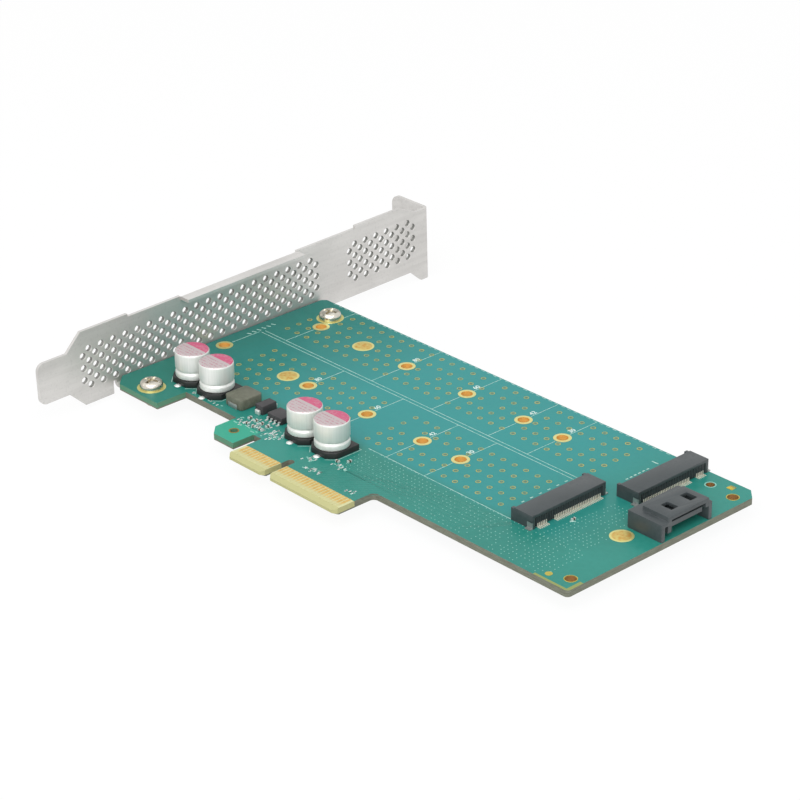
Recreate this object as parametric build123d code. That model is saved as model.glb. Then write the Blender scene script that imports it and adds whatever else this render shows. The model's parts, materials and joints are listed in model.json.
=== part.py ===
from build123d import *
import os

# Storage adapter card with two module sockets, one data plug and a slotted rear bracket, in mm.
# While modelling, x runs from the board's bracket edge, y from the tip of the edge connector,
# and z from the component side of the board.

# Circuit board
board_length = 138.2
board_height = 68.9            # tip of the edge connector to the top edge
board_thickness = 1.57
lower_edge_y = 11.1            # long lower edge beyond the edge connector
near_chamfer = 1.0             # top corner beside the bracket
far_chamfer = 2.4              # top corner at the far end
far_radius = 1.0               # lower corner at the far end
tab_width = 16.8               # board tab that carries the lower bracket screw
tab_y = 4.1
tab_chamfer = 3.0
recess_y = 12.4                # recess between the tab and the retention hook
hook_width = 9.0
hook_y = 4.0
hook_chamfer = 2.4
hook_slot = 2.75               # gap between the hook and the short tongue
hook_slot_y = 9.8
inner_radius = 1.2             # inside corner beside the long tongue

# Edge connector
key_x = 59.05                  # centre of the key, from the bracket edge of the board
key_width = 1.9
key_depth = 8.25
short_tongue = 11.65
long_tongue = 21.65
tongue_chamfer = 0.9
bevel_length = 1.3
bevel_depth = 0.45
finger_pitch = 1.0
finger_width = 0.7
finger_length = 4.2
first_finger = 1.5             # key centre to the nearest finger on each side
short_fingers = 11
long_fingers = 21
plating = 0.04

# Module lanes
shorter_modules = (30.0, 42.0, 60.0, 80.0)
first_ring_x = 3.6             # ring for the longest module, from the bracket edge
socket_inset_x = 24.6          # far edge of the board to the stop of a module in the front socket
front_lane_inset = 34.4        # top edge of the board to the middle of the front lane
lane_pitch = 23.1
lane_stagger = 8.1             # the back socket sits this much further from the bracket
standoff_hole = 2.7
standoff_ring = 4.1
ring_sides = 12                # small round pads, pegs and their seats are many-sided

# Other holes and pads of the board
corner_hole = 2.5
corner_pad = 3.1
corner_inset_x = 3.0
lower_corner_y = 15.1
upper_corner_inset_y = 5.1
guide_hole = 2.0               # locating hole beside the data plug
guide_inset_x = 9.9
guide_inset_y = 4.3
hook_hole = 1.8
hook_pad = 2.6
hook_hole_y = 8.0
fixing_pad = 5.2               # solid round pads in the lanes and beside the data plug
front_pad_gap = 7.0            # front lane's pad, from the ring for the 80 mm module
far_pad_inset = 7.8
far_pad_shift = 0.5
target_pad = 1.6               # small alignment pads at the far end
round_target_inset = 7.4
round_target_rise = 2.3
square_target_inset = 5.9
square_target_drop = 2.2

# Bracket
bracket_length = 120.02
bracket_width = 18.42
sheet = 0.8
bend_radius = 0.5              # inside radius of every fold
board_gap = 0.4                # face of the bracket to the board's edge
bracket_low_z = -4.2           # lower edge of the face
bracket_end_y = -15.6          # end of the bracket's tongue
bracket_tongue = 10.19
bracket_tongue_length = 8.1
bracket_tongue_radius = 1.8
shoulder = 4.2                 # length of the taper from the tongue to the full width
bracket_lean = 1.15            # degrees that the face leans out of square with the board
flange_depth = 12.7
flange_width = 19.05
flange_drop = 3.17             # the flange reaches this far below the face
flange_radius = 2.4
neck_length = 4.5              # full-depth part of the top edge beside the flange
neck_slope = 5.5
foot_length = 3.0              # full-depth part of the foot beside the flange
foot_slope = 3.5
flange_notch = 4.42
notch_centre = 5.3             # centre of the notch from the flange's lower edge
notch_offset = 6.35            # centre of the notch from the bracket's face
edge_recess = 0.7              # shallow recess along the top edge of the face
edge_recess_start = 10.1
edge_recess_length = 69.8
stiffener_start = 25.5         # folded stiffener inside the recess
stiffener_length = 35.7
stiffener_depth = 3.0
stiffener_leg = 2.6

# Perforation of the bracket
vent_hole = 1.6
vent_sides = 4
vent_step_y = 1.75
vent_step_z = 1.52
vent_rows = 4                  # holes in a long column, with one fewer in a short column
first_vent_y = -3.1
first_vent_columns = 41
second_vent_y = 77.8
second_vent_columns = 13

# Bracket screws and their tabs
screw_x = 9.4
lower_screw_y = 8.3
upper_screw_inset = 6.4
screw_size = 2.9
screw_length = 5.0
screw_head = 5.4
screw_head_height = 1.9
screw_head_rim = 0.9
screw_crown = 3.6              # flat top of the head
screw_drive = 2.8              # span of the cross recess
screw_drive_width = 0.7
screw_drive_depth = 1.1
screw_play = 0.3               # clearance of the board's hole around the screw
thread_play = 0.05
screw_pad = 6.6
screw_tab_width = 5.2
screw_tab_reach = 3.5          # tab beyond the screw's centre
tab_relief = 0.8

# Module sockets
socket_width = 21.9
socket_height = 3.2
socket_front = 3.7             # mouth ears, ahead of the module stop
socket_lip = 2.8               # top plate, ahead of the module stop
socket_back = 2.5
socket_wall = 0.9
socket_floor = 0.85
socket_floor_front = 3.3
socket_roof = 0.75
socket_ear_height = 2.95
socket_cavity_back = 0.6       # the mouth ends this far behind the module stop
socket_overhang = 0.6          # roof beyond the rear wall
outer_pin_inset = 1.7          # side of the socket to the middle of its outer contact
contact_share = 0.44           # width of a contact against the pitch of one row
contact_thickness = 0.14
contact_play = 0.05
contact_tail = 0.9             # length of a solder tail outside the housing
upper_contact_z = 2.3
upper_contact_reach = 1.4
pin_count = 75
first_key_pins = (12, 19)      # key of the front socket
second_key_pins = (59, 66)     # key of the back socket
key_rib = 1.2
peg_size = 1.1
peg_length = 1.2
peg_play = 0.05
peg_inset = 1.0
hold_down_width = 1.5
hold_down_thickness = 0.25
hold_down_height = 1.5
hold_down_foot = 0.7

# Data plug
plug_shift = 4.0               # front lane to the side of the plug nearer the edge connector
plug_width = 15.3
plug_depth = 9.4
plug_height = 4.1              # side walls and rear
plug_end_gap = 0.1             # mouth to the far edge of the board
plug_wall = 1.0
plug_back_wall = 2.6
plug_roof_inset = 2.0          # raised roof, from the low side
plug_roof_width = 12.3
plug_roof_depth = 7.2
plug_roof_height = 5.2
plug_roof_thickness = 0.9
plug_window_depth = 3.0
plug_window_width = 2.1
plug_window_pitch = 5.8
plug_window_inset = 1.9
plug_window_shift = 0.65       # windows from the middle of the roof
blade_gap = 1.3                # side wall to the leg of the blade
blade_width = 10.4
blade_thickness = 1.15
blade_z = 3.0                  # middle of the blade
blade_leg = 2.4                # leg of the L-shaped blade
blade_inset = 0.4
plug_contacts = 7
plug_contact_pitch = 1.27
plug_contact_width = 0.7
plug_contact_thickness = 0.2
plug_tail = 1.0

# Capacitors
can_diameter = 8.0
can_sides = 24                 # cans and screw heads are many-sided
can_top_z = 7.8
can_base_z = 1.4
can_shoulder = 0.3
bead_z = 3.15
bead_height = 0.7
bead_depth = 0.28
can_base_width = 8.3
can_base_chamfer = 1.9
can_lead_width = 0.9
can_lead_thickness = 0.2
can_lead_reach = 0.8           # lead beyond the edge of the base
capacitor_y = 17.7
capacitor_x = (12.9, 21.6, 52.1, 61.0)

# Converter parts between the capacitors
coil_length = 6.7
coil_width = 5.8
coil_height = 2.6
coil_corner = 0.5
coil_position = (30.4, 18.2)
coil_terminal_width = 3.0
coil_terminal_thickness = 0.15
coil_terminal_height = 1.2
diode_length = 4.3
diode_width = 2.6
diode_height = 2.1
diode_position = (36.7, 19.4)
diode_terminal_width = 1.4
diode_terminal_height = 1.1
diode_terminal_foot = 0.6
chip_length = 4.9
chip_width = 3.9
chip_height = 1.6
chip_standoff = 0.12
chip_position = (42.3, 19.0)
chip_leads = 4
chip_lead_pitch = 1.27
chip_lead_width = 0.42
chip_lead_reach = 1.05
chip_lead_thickness = 0.18
chip_lead_z = 0.75
draft = 0.15                   # taper of each moulded package, top against bottom

# Chip resistors and capacitors
passive_length = 1.0
passive_width = 0.5
passive_height = 0.45
passive_end = 0.25
passive_grow = 0.04            # end caps stand proud of the body
passive_rows = (                # x, y, and 0 along x or 90 along y
    (37.2, 14.3, 90), (39.2, 14.3, 90), (41.2, 14.3, 90), (43.2, 14.3, 90),
    (38.8, 12.2, 0), (41.0, 12.2, 0), (43.2, 12.2, 0),
    (66.2, 14.6, 0), (68.0, 16.4, 90),
)
socket_chip_gap = 5.4          # one more beside the front socket
socket_chip_drop = 1.8

# Derived places
short_left = key_x - key_width / 2 - short_tongue
short_right = key_x - key_width / 2
long_left = key_x + key_width / 2
long_right = key_x + key_width / 2 + long_tongue
hook_right = short_left - hook_slot
hook_left = hook_right - hook_width
hook_x = (hook_left + hook_right) / 2
corner_x = board_length - corner_inset_x
upper_corner_y = board_height - upper_corner_inset_y
front_lane_y = board_height - front_lane_inset
back_lane_y = front_lane_y + lane_pitch
front_stop_x = board_length - socket_inset_x
back_stop_x = front_stop_x + lane_stagger
module_lengths = shorter_modules + (front_stop_x - first_ring_x,)
guide_hole_x = board_length - guide_inset_x
guide_hole_y = board_height - guide_inset_y
back_pad_x = back_stop_x - (module_lengths[-1] + module_lengths[-2]) / 2
fixing_pads = (
    (front_stop_x - module_lengths[-2] - front_pad_gap, front_lane_y),
    (back_pad_x, back_lane_y),
    (board_length - far_pad_inset, front_lane_y + far_pad_shift),
)
round_target = (board_length - round_target_inset, lower_edge_y + round_target_rise)
square_target = (board_length - square_target_inset, board_height - square_target_drop)
contact_pitch = 2 * (socket_width - 2 * outer_pin_inset) / (pin_count - 1)
contact_width = contact_share * contact_pitch
plug_low_y = front_lane_y + plug_shift
face_x = -board_gap
bracket_high_z = bracket_low_z + bracket_width
bracket_mid_z = bracket_low_z + bracket_width / 2
flange_y = bracket_end_y + bracket_length
tab_top_z = -board_thickness
screw_points = ((screw_x, lower_screw_y), (screw_x, board_height - upper_screw_inset))
plug_front_x = board_length - plug_end_gap
plug_back_x = plug_front_x - plug_depth
plug_y = plug_low_y + plug_width / 2
blade_low_y = plug_low_y + plug_wall + blade_gap
blade_low_z = blade_z - blade_thickness / 2


def block(x0, x1, y0, y1, z0, z1):
    return Pos((x0 + x1) / 2, (y0 + y1) / 2, (z0 + z1) / 2) * Box(x1 - x0, y1 - y0, z1 - z0)


def disc(x, y, diameter, z0, z1):
    return Pos(x, y, (z0 + z1) / 2) * Cylinder(diameter / 2, z1 - z0)


def corner(shape, x, y):
    return shape.vertices().sort_by_distance((x, y, 0))[0]


def pad(x, y, size, z0, z1, sides=ring_sides):
    # A many-sided pad or seat, with its corners on the stated diameter.
    return Pos(x, y, z0) * extrude(RegularPolygon(size / 2, sides), z1 - z0)


def lane_holes():
    # Standoff holes of both lanes, counted back from each socket's stop.
    lanes = ((front_stop_x, front_lane_y), (back_stop_x, back_lane_y))
    return [(stop - length, y) for stop, y in lanes for length in module_lengths]


def peg_points():
    # Locating pegs under the sockets.
    reach = socket_width / 2 - peg_inset
    lanes = ((front_stop_x, front_lane_y), (back_stop_x, back_lane_y))
    return [(stop - peg_inset, y + side * reach) for stop, y in lanes for side in (-1, 1)]


def plug_peg_points():
    reach = plug_width / 2 - peg_inset
    return [(plug_back_x + plug_back_wall / 2, plug_y + side * reach) for side in (-1, 1)]


def circuit_board():
    rim = Polyline(
        (long_right, tongue_chamfer), (long_right, lower_edge_y), (board_length, lower_edge_y),
        (board_length, board_height), (0, board_height), (0, tab_y), (tab_width, tab_y),
        (tab_width, recess_y), (hook_left, recess_y), (hook_left, hook_y), (hook_right, hook_y),
        (hook_right, hook_slot_y), (short_left, hook_slot_y), (short_left, tongue_chamfer),
        (short_left + tongue_chamfer, 0), (short_right - tongue_chamfer, 0),
        (short_right, tongue_chamfer), (short_right, key_depth - key_width / 2),
    )
    key_top = ThreePointArc(
        (short_right, key_depth - key_width / 2), (key_x, key_depth),
        (long_left, key_depth - key_width / 2),
    )
    long_side = Polyline(
        (long_left, key_depth - key_width / 2), (long_left, tongue_chamfer),
        (long_left + tongue_chamfer, 0), (long_right - tongue_chamfer, 0),
        (long_right, tongue_chamfer),
    )
    outline = make_face(Curve() + [rim, key_top, long_side])
    outline = chamfer(corner(outline, 0, board_height), near_chamfer)
    outline = chamfer(corner(outline, board_length, board_height), far_chamfer)
    outline = chamfer(corner(outline, 0, tab_y), tab_chamfer)
    outline = chamfer(corner(outline, hook_left, hook_y), hook_chamfer)
    outline = fillet(corner(outline, board_length, lower_edge_y), far_radius)
    outline = fillet(corner(outline, long_right, lower_edge_y), inner_radius)
    plate = extrude(outline, -board_thickness)

    # The side view of the board, with the lead-in bevel along the tips of both tongues.
    section = make_face(Polyline(
        (0, -bevel_depth), (bevel_length, 0), (board_height, 0), (board_height, -board_thickness),
        (bevel_length, -board_thickness), (0, bevel_depth - board_thickness), close=True,
    ))
    plate &= extrude(Plane.YZ * section, board_length)

    seats = [(x, y, standoff_ring) for x, y in lane_holes()]
    seats += [(x, y, screw_size + 2 * screw_play) for x, y in screw_points]
    seats += [(hook_x, hook_hole_y, hook_hole), (guide_hole_x, guide_hole_y, guide_hole)]
    seats += [(x, y, peg_size + 2 * peg_play) for x, y in peg_points() + plug_peg_points()]
    plate -= [pad(x, y, size, -board_thickness, 0) for x, y, size in seats]
    corners = ((corner_x, lower_corner_y), (corner_x, upper_corner_y))
    return plate - [disc(x, y, corner_hole, -board_thickness, 0) for x, y in corners]


def edge_fingers(z0):
    # One side's row of gold fingers, with the gap of the key between the two groups.
    near = [key_x - first_finger - i * finger_pitch for i in range(short_fingers)]
    far = [key_x + first_finger + i * finger_pitch for i in range(long_fingers)]
    half = finger_width / 2
    return [
        block(x - half, x + half, bevel_length, bevel_length + finger_length, z0, z0 + plating)
        for x in sorted(near + far)
    ]


def standoff_rings():
    # Each ring is one plated tube that stands a little proud of both faces of the board.
    low = -board_thickness - plating
    return [
        pad(x, y, standoff_ring, low, plating) - disc(x, y, standoff_hole, low, plating)
        for x, y in lane_holes()
    ]


def gold_pads():
    pads = []
    for x, y in fixing_pads:
        pads.append(pad(x, y, fixing_pad, 0, plating, can_sides))
    rings = [(x, y, screw_pad, screw_size + 2 * screw_play) for x, y in screw_points]
    rings += [(corner_x, y, corner_pad, corner_hole + 2 * plating) for y in (lower_corner_y, upper_corner_y)]
    rings += [(hook_x, hook_hole_y, hook_pad, hook_hole)]
    for x, y, outer, inner in rings:
        pads.append(pad(x, y, outer, 0, plating) - pad(x, y, inner, 0, plating))
    pads.append(pad(*round_target, target_pad, 0, plating))
    x, y = square_target
    half = target_pad / 2
    pads.append(block(x - half, x + half, y - half, y + half, 0, plating))
    return pads


def fold(leg, depth, width):
    # An L-shaped strip of sheet: the leg runs down and the flange runs along +x from one fold.
    outer = sheet + bend_radius
    top = Polyline((0, -leg), (0, -outer))
    bend_out = RadiusArc((0, -outer), (outer, 0), outer)
    flange = Polyline((outer, 0), (depth, 0), (depth, -sheet), (outer, -sheet))
    bend_in = RadiusArc((outer, -sheet), (sheet, -outer), -bend_radius)
    back = Polyline((sheet, -outer), (sheet, -leg), (0, -leg))
    profile = make_face(Curve() + [top, bend_out, flange, bend_in, back])
    return extrude(Plane.XZ * profile, -width)


def vent_columns(first_y, columns):
    # Columns take turns at one hole fewer, half a step lower, which staggers the pattern.
    points = []
    for column in range(columns):
        count = vent_rows - 1 + column % 2
        y = first_y + column * vent_step_y
        for row in range(count):
            points.append((y, bracket_mid_z + (2 * row - count + 1) * vent_step_z))
    return points


def slot_bracket():
    end = bracket_end_y
    neck = end + bracket_tongue_length
    full = neck + shoulder
    tongue_low = bracket_mid_z - bracket_tongue / 2
    tongue_high = bracket_mid_z + bracket_tongue / 2
    flange_low_z = bracket_low_z - flange_drop
    flange_high_z = flange_low_z + flange_width
    fold_y = flange_y - sheet - bend_radius
    recess_end = edge_recess_start + edge_recess_length
    foot_y = flange_y - foot_length
    top_y = flange_y - neck_length
    face = make_face(Polyline(
        (end, tongue_low), (neck, tongue_low), (full, bracket_low_z), (foot_y - foot_slope, bracket_low_z),
        (foot_y, flange_low_z), (fold_y, flange_low_z), (fold_y, flange_high_z), (top_y, flange_high_z),
        (top_y - neck_slope, bracket_high_z), (recess_end, bracket_high_z),
        (recess_end, bracket_high_z - edge_recess), (edge_recess_start, bracket_high_z - edge_recess),
        (edge_recess_start, bracket_high_z), (full, bracket_high_z), (neck, tongue_high),
        (end, tongue_high), close=True,
    ))
    face = fillet(corner(face, end, tongue_low), bracket_tongue_radius)
    face = fillet(corner(face, end, tongue_high), bracket_tongue_radius)
    vents = vent_columns(first_vent_y, first_vent_columns)
    vents += vent_columns(second_vent_y, second_vent_columns)
    face -= [Pos(y, z) * RegularPolygon(vent_hole / 2, vent_sides) for y, z in vents]
    bracket = Pos(face_x, 0, 0) * extrude(Plane.YZ * face, -sheet)

    # Stiffener folded inwards from the recessed top edge.
    stiffener_top = bracket_high_z - edge_recess
    stiffener_end = stiffener_start + stiffener_length
    bracket -= block(face_x - sheet, face_x, stiffener_start, stiffener_end,
                     stiffener_top - stiffener_leg, stiffener_top)
    bracket += Pos(face_x - sheet, stiffener_start, stiffener_top) * fold(
        stiffener_leg, sheet + stiffener_depth, stiffener_length)

    # Outward flange at the top end, with the open notch for the chassis screw.
    flange = fold(2 * sheet + bend_radius, flange_depth, flange_width)
    tip_edges = flange.edges().filter_by(Axis.Z).group_by(Axis.X)[-1]
    flange = fillet(tip_edges.sort_by(Axis.Y)[-1], flange_radius)
    bracket += Pos(face_x, flange_y, flange_low_z) * Rot(-90, 0, 0) * Rot(0, 0, 180) * flange
    notch_x = face_x - notch_offset
    notch_z = flange_low_z + notch_centre
    slot = Cylinder(flange_notch / 2, 4 * sheet) + Pos(0, -notch_centre, 0) * Box(
        flange_notch, 2 * notch_centre, 4 * sheet)
    bracket -= Pos(notch_x, flange_y, notch_z) * Rot(90, 0, 0) * slot

    # The face turns in its own plane about the tongue, and the tabs below stay square to the board.
    bracket = Pos(0, neck, bracket_mid_z) * Rot(bracket_lean, 0, 0) * Pos(0, -neck, -bracket_mid_z) * bracket

    # Two tabs folded inwards under the board, with a relief cut beside each.
    tab_leg = sheet + bend_radius + 0.5 * sheet
    for x, y in screw_points:
        low = y - screw_tab_width / 2
        high = y + screw_tab_width / 2
        bracket -= block(face_x - sheet, face_x, low - tab_relief, high + tab_relief,
                         bracket_low_z - flange_drop, tab_top_z - sheet + tab_leg)
        strip = fold(tab_leg, x + screw_tab_reach - face_x + sheet, screw_tab_width)
        bracket += Pos(face_x - sheet, low, tab_top_z - sheet) * mirror(strip, Plane.XY)
        bracket -= disc(x, y, screw_size + 2 * thread_play, tab_top_z - sheet, tab_top_z)
    return bracket


def bracket_screws():
    rim = Pos(0, 0, screw_head_rim) * RegularPolygon(screw_head / 2, can_sides)
    crown = Pos(0, 0, screw_head_height) * RegularPolygon(screw_crown / 2, can_sides)
    floor = screw_head_height - screw_drive_depth
    head = pad(0, 0, screw_head, 0, screw_head_rim, can_sides) + loft([rim, crown])
    for span, width in ((screw_drive, screw_drive_width), (screw_drive_width, screw_drive)):
        head -= block(-span / 2, span / 2, -width / 2, width / 2, floor, screw_head_height)
    screw = head + pad(0, 0, screw_size, -screw_length, 0)
    return [Pos(x, y, plating) * screw for x, y in screw_points]


def pin_y(pin):
    # Place of a numbered contact across a socket: odd pins above, even pins below.
    return (pin - (pin_count + 1) / 2) * contact_pitch / 2


def socket_pins(start, skipped):
    low, high = skipped
    return [pin for pin in range(start, pin_count + 1, 2) if not low <= pin <= high]


def socket_housing(stop_x, lane_y, skipped):
    half = socket_width / 2
    inside = half - socket_wall
    roof_z = socket_height - socket_roof
    wall_x = socket_back - socket_overhang
    body = block(-socket_lip, socket_back, -half, half, 0, socket_height)
    body += [
        block(-socket_front, -socket_lip, side * half - socket_wall * (1 + side) / 2,
              side * half + socket_wall * (1 - side) / 2, 0, socket_ear_height)
        for side in (-1, 1)
    ]
    body += block(-socket_floor_front, -socket_lip, -inside, inside, 0, socket_floor)
    # The mouth, the groove that the upper contacts pass through, and the recess behind them.
    groove_low = upper_contact_z - contact_play
    body -= block(-socket_lip, socket_cavity_back, -inside, inside, socket_floor, roof_z)
    body -= block(socket_cavity_back, wall_x, -inside, inside, groove_low, roof_z)
    body -= block(wall_x, socket_back, -inside, inside, 0, roof_z)
    key_y = pin_y(sum(skipped) / 2)
    body += block(-socket_lip, wall_x, key_y - key_rib / 2, key_y + key_rib / 2, socket_floor, roof_z)
    for side in (-1, 1):
        y0, y1 = sorted((side * (half - hold_down_thickness), side * half))
        body -= block(socket_back - hold_down_width, socket_back, y0, y1, 0, hold_down_height)
    pegs = [pad(-peg_inset, side * (half - peg_inset), peg_size, -peg_length, 0) for side in (-1, 1)]
    return Pos(stop_x, lane_y, 0) * (body + pegs)


def upper_contacts(stop_x, lane_y, skipped):
    # Solder tail behind the socket, riser against its rear wall, and a beam above the module.
    riser_x = socket_back - socket_overhang
    tail_x = socket_back + contact_tail
    top_z = upper_contact_z + contact_thickness
    profile = make_face(Polyline(
        (tail_x, 0), (tail_x, contact_thickness), (riser_x + contact_thickness, contact_thickness),
        (riser_x + contact_thickness, top_z), (-upper_contact_reach, top_z),
        (-upper_contact_reach, upper_contact_z), (riser_x, upper_contact_z), (riser_x, 0), close=True,
    ))
    contact = extrude(Plane.XZ * profile, contact_width / 2, both=True)
    return [Pos(stop_x, lane_y + pin_y(pin), 0) * contact for pin in socket_pins(1, skipped)]


def lower_contacts(stop_x, lane_y, skipped):
    # Solder tail ahead of the socket and a riser up the front of its floor.
    front = -socket_floor_front
    riser_x = front - contact_thickness
    high = socket_floor + contact_thickness
    profile = make_face(Polyline(
        (riser_x - contact_tail, 0), (front, 0), (front, high), (riser_x, high),
        (riser_x, contact_thickness), (riser_x - contact_tail, contact_thickness), close=True,
    ))
    contact = extrude(Plane.XZ * profile, contact_width / 2, both=True)
    return [Pos(stop_x, lane_y + pin_y(pin), 0) * contact for pin in socket_pins(2, skipped)]


def socket_hold_downs(stop_x, lane_y):
    clips = []
    for side in (-1, 1):
        outer = side * socket_width / 2
        inner = outer - side * hold_down_thickness
        foot = outer + side * hold_down_foot
        x0 = stop_x + socket_back - hold_down_width
        x1 = stop_x + socket_back
        y0, y1 = sorted((lane_y + inner, lane_y + outer))
        f0, f1 = sorted((lane_y + inner, lane_y + foot))
        clips.append(block(x0, x1, y0, y1, 0, hold_down_height)
                     + block(x0, x1, f0, f1, 0, hold_down_thickness))
    return clips


def plug_housing():
    low = plug_low_y
    high = low + plug_width
    cavity_back = plug_back_x + plug_back_wall
    roof_low = low + plug_roof_inset
    roof_high = roof_low + plug_roof_width
    roof_back = plug_front_x - plug_roof_depth
    shell = block(plug_back_x, plug_front_x, low, high, 0, plug_height)
    shell += block(roof_back, plug_front_x, roof_low, roof_high, plug_height, plug_roof_height)
    shell -= block(cavity_back, plug_front_x, low + plug_wall, high - plug_wall,
                   0, plug_height - plug_roof_thickness)
    shell -= block(cavity_back, plug_front_x, roof_low + plug_wall, roof_high - plug_wall,
                   0, plug_roof_height - plug_roof_thickness)
    blade_end = plug_front_x - blade_inset
    shell += block(cavity_back, blade_end, blade_low_y, blade_low_y + blade_width,
                   blade_low_z, blade_low_z + blade_thickness)
    shell += block(cavity_back, blade_end, blade_low_y, blade_low_y + blade_thickness,
                   blade_low_z + blade_thickness - blade_leg, blade_low_z)
    middle = (roof_low + roof_high) / 2 + plug_window_shift
    window_end = plug_front_x - plug_window_inset
    for side in (-1, 1):
        y = middle + side * plug_window_pitch / 2
        shell -= block(window_end - plug_window_depth, window_end, y - plug_window_width / 2,
                       y + plug_window_width / 2, plug_roof_height - plug_roof_thickness, plug_roof_height)
    places = plug_contact_places()
    reach = plug_contact_width / 2 + contact_play
    shell -= block(plug_back_x, cavity_back, places[0] - reach, places[-1] + reach, 0, blade_low_z)
    pegs = [pad(x, y, peg_size, -peg_length, 0) for x, y in plug_peg_points()]
    return shell + pegs


def plug_contact_places():
    # Seven contacts spaced evenly under the blade, beside its leg.
    centre = blade_low_y + (blade_width + blade_thickness) / 2
    middle = (plug_contacts - 1) / 2
    return [centre + (i - middle) * plug_contact_pitch for i in range(plug_contacts)]


def data_contacts():
    tail_x = plug_back_x - plug_tail
    riser_x = plug_back_x + contact_play
    end_x = plug_front_x - 2 * blade_inset
    thick = plug_contact_thickness
    profile = make_face(Polyline(
        (tail_x, 0), (riser_x + thick, 0), (riser_x + thick, blade_low_z - thick),
        (end_x, blade_low_z - thick), (end_x, blade_low_z), (riser_x, blade_low_z),
        (riser_x, thick), (tail_x, thick), close=True,
    ))
    contact = extrude(Plane.XZ * profile, plug_contact_width / 2, both=True)
    return [Pos(0, y, 0) * contact for y in plug_contact_places()]


def capacitor_cans():
    # A drawn can with the crimp groove near its foot, and a slightly smaller top.
    groove = can_diameter - 2 * bead_depth
    steps = (
        (can_diameter, can_base_z, bead_z - bead_height / 2),
        (groove, bead_z - bead_height / 2, bead_z + bead_height / 2),
        (can_diameter, bead_z + bead_height / 2, can_top_z - can_shoulder),
        (can_diameter - 2 * can_shoulder, can_top_z - can_shoulder, can_top_z),
    )
    return [
        Part() + [pad(x, capacitor_y, size, low, high, can_sides) for size, low, high in steps]
        for x in capacitor_x
    ]


def capacitor_bases():
    plate = Rectangle(can_base_width, can_base_width)
    half = can_base_width / 2
    for side in (-1, 1):
        plate = chamfer(corner(plate, side * half, -half), can_base_chamfer)
    plate -= [Pos(0, side * half) * Rectangle(can_lead_width, can_base_width / 2) for side in (-1, 1)]
    slab = extrude(plate, can_base_z)
    cover = block(-can_lead_width / 2, can_lead_width / 2, -half, half, can_lead_thickness, can_base_z)
    return [Pos(x, capacitor_y, 0) * (slab + cover) for x in capacitor_x]


def capacitor_leads():
    half = can_base_width / 2
    leads = []
    for x in capacitor_x:
        for side in (-1, 1):
            y0, y1 = sorted((side * half / 2, side * (half + can_lead_reach)))
            leads.append(block(x - can_lead_width / 2, x + can_lead_width / 2,
                               capacitor_y + y0, capacitor_y + y1, 0, can_lead_thickness))
    return leads


def moulded_block(length, width, low, high):
    # A moulded package, slightly smaller at its top than at its foot.
    foot = Pos(0, 0, low) * Rectangle(length, width)
    top = Pos(0, 0, high) * Rectangle(length - draft, width - draft)
    return loft([foot, top])


def coil_body():
    x, y = coil_position
    depth = coil_length - 2 * coil_terminal_thickness
    outline = chamfer(Rectangle(coil_width, depth).vertices(), coil_corner)
    return Pos(x, y, 0) * extrude(outline, coil_height)


def coil_terminals():
    x, y = coil_position
    half = coil_terminal_width / 2
    ends = []
    for side in (-1, 1):
        y0, y1 = sorted((y + side * coil_length / 2,
                         y + side * (coil_length / 2 - coil_terminal_thickness)))
        ends.append(block(x - half, x + half, y0, y1, 0, coil_terminal_height))
    return ends


def diode_body():
    x, y = diode_position
    return Pos(x, y, 0) * moulded_block(diode_width, diode_length, 0, diode_height)


def diode_terminals():
    x, y = diode_position
    half = diode_terminal_width / 2
    parts = []
    for side in (-1, 1):
        inner = y + side * diode_length / 2
        y0, y1 = sorted((inner, inner + side * diode_terminal_foot))
        parts.append(block(x - half, x + half, y0, y1, 0, diode_terminal_height))
    return parts


def chip_body():
    x, y = chip_position
    return Pos(x, y, 0) * moulded_block(chip_length, chip_width, chip_standoff, chip_height)


def chip_lead_row():
    # Gull-wing leads along both long sides of the chip.
    t = chip_lead_thickness
    reach = chip_lead_reach
    knee = reach * 0.45
    profile = make_face(Polyline(
        (0, chip_lead_z), (knee, chip_lead_z), (knee, t), (reach, t), (reach, 0),
        (knee - t, 0), (knee - t, chip_lead_z - t), (0, chip_lead_z - t), close=True,
    ))
    lead = extrude(Plane.YZ * profile, chip_lead_width / 2, both=True)
    x, y = chip_position
    middle = (chip_leads - 1) / 2
    leads = []
    for i in range(chip_leads):
        place = x + (i - middle) * chip_lead_pitch
        leads.append(Pos(place, y + chip_width / 2, 0) * lead)
        leads.append(Pos(place, y - chip_width / 2, 0) * Rot(0, 0, 180) * lead)
    return leads


def passive_parts():
    bodies = []
    ends = []
    half = passive_length / 2
    extra = (front_stop_x + socket_chip_gap, front_lane_y - socket_chip_drop, 90)
    for x, y, turn in passive_rows + (extra,):
        place = Pos(x, y, 0) * Rot(0, 0, turn)
        inner = half - passive_end
        wide = passive_width / 2
        bodies.append(place * block(-inner, inner, -wide, wide, passive_grow, passive_height))
        grown = wide + passive_grow
        for x0, x1 in ((-half, -inner), (inner, half)):
            ends.append(place * block(x0, x1, -grown, grown, 0, passive_height + passive_grow))
    return bodies, ends


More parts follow.
